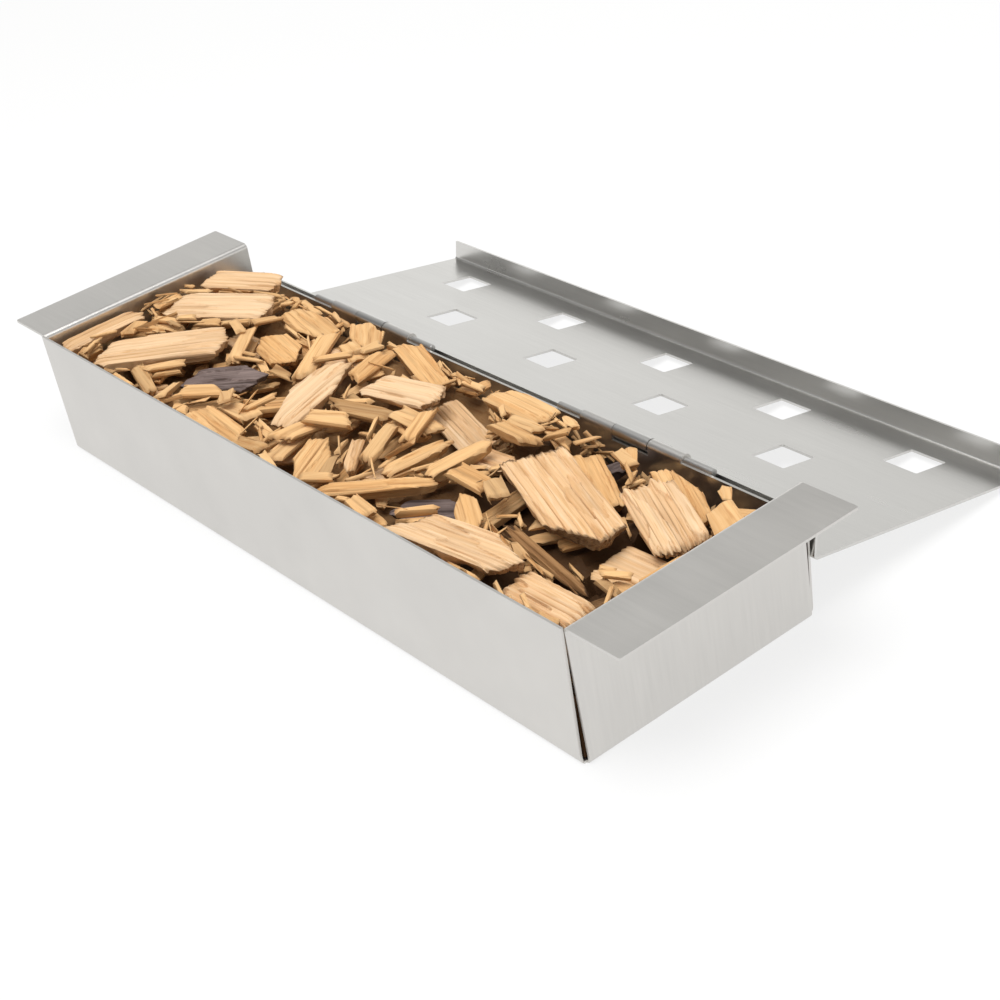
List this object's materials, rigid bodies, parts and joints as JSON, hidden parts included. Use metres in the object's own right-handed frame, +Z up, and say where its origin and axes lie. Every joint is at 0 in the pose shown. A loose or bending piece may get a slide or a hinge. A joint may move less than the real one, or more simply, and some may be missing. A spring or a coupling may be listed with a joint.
{
  "type": "smoker box",
  "caption": "Folded stainless smoker box with end handles, filled with wood chips, its hinged perforated lid swung open",
  "frame": {"origin": "middle of the tray's flat underside, on the table", "axes": "+X along the tray to the handle nearer the viewer, +Y to the rear wall with the hinge, +Z up"},
  "size_m": [0.354, 0.1957, 0.049],
  "materials": {
    "stainless_sheet": "satin stainless sheet with fine streaks",
    "hinge_steel": "drawn stainless wire with bright bevelled ends",
    "split_wood": "split hardwood with open grain",
    "pale_wood": "pale split hardwood with ribbed grain",
    "bark": "dark rough bark"
  },
  "bodies": {
    "tray_body": {"bark_flake": "bark", "behind_ribbed_chip": "split_wood", "centre_slab": "split_wood", "chip_bed": "split_wood", "corner_stick": "split_wood", "far_cross_slab": "pale_wood", "far_left_slab": "split_wood", "far_middle_slab": "split_wood", "far_rear_slab": "pale_wood", "far_right_slab": "split_wood", "fibrous_corner_chip": "pale_wood", "first_cross_stick": "split_wood", "flat_end_chip": "split_wood", "front_block": "split_wood", "front_far_chip": "split_wood", "front_slab": "pale_wood", "front_split_chip": "split_wood", "hinge_pins": "hinge_steel", "long_front_stick": "split_wood", "middle_bark": "bark", "middle_flake": "split_wood", "middle_rear_chip": "split_wood", "near_flake": "split_wood", "pale_middle_slab": "pale_wood", "pale_near_chip": "pale_wood", "rear_bark_stick": "bark", "rear_long_chip": "split_wood", "rear_slab": "split_wood", "ribbed_slab": "pale_wood", "second_cross_stick": "split_wood", "small_chips": "split_wood", "small_pointed_chip": "split_wood", "split_twig": "split_wood", "tray": "stainless_sheet", "under_chip_01": "split_wood", "under_chip_02": "split_wood", "under_chip_03": "split_wood", "under_chip_04": "split_wood", "under_chip_05": "split_wood", "under_chip_06": "split_wood", "under_chip_07": "split_wood", "under_chip_08": "split_wood", "under_chip_09": "split_wood", "under_chip_10": "split_wood", "under_chip_11": "split_wood", "under_chip_12": "split_wood", "under_chip_13": "split_wood", "under_chip_14": "split_wood", "under_chip_15": "split_wood", "under_chip_16": "split_wood", "under_chip_17": "split_wood", "under_chip_18": "split_wood", "under_chip_19": "split_wood", "under_chip_20": "split_wood", "upright_stick": "split_wood", "white_middle_slab": "pale_wood", "yellow_rear_chip": "pale_wood"},
    "lid_body": {"lid": "stainless_sheet"}
  },
  "joints": [
    {"name": "lid_hinge", "type": "hinge", "parent": "tray_body", "child": "lid_body", "pos_m": [0, 0.04938, 0.035], "axis": [1, 0, 0], "range_deg": [0, 191.59]}
  ]
}
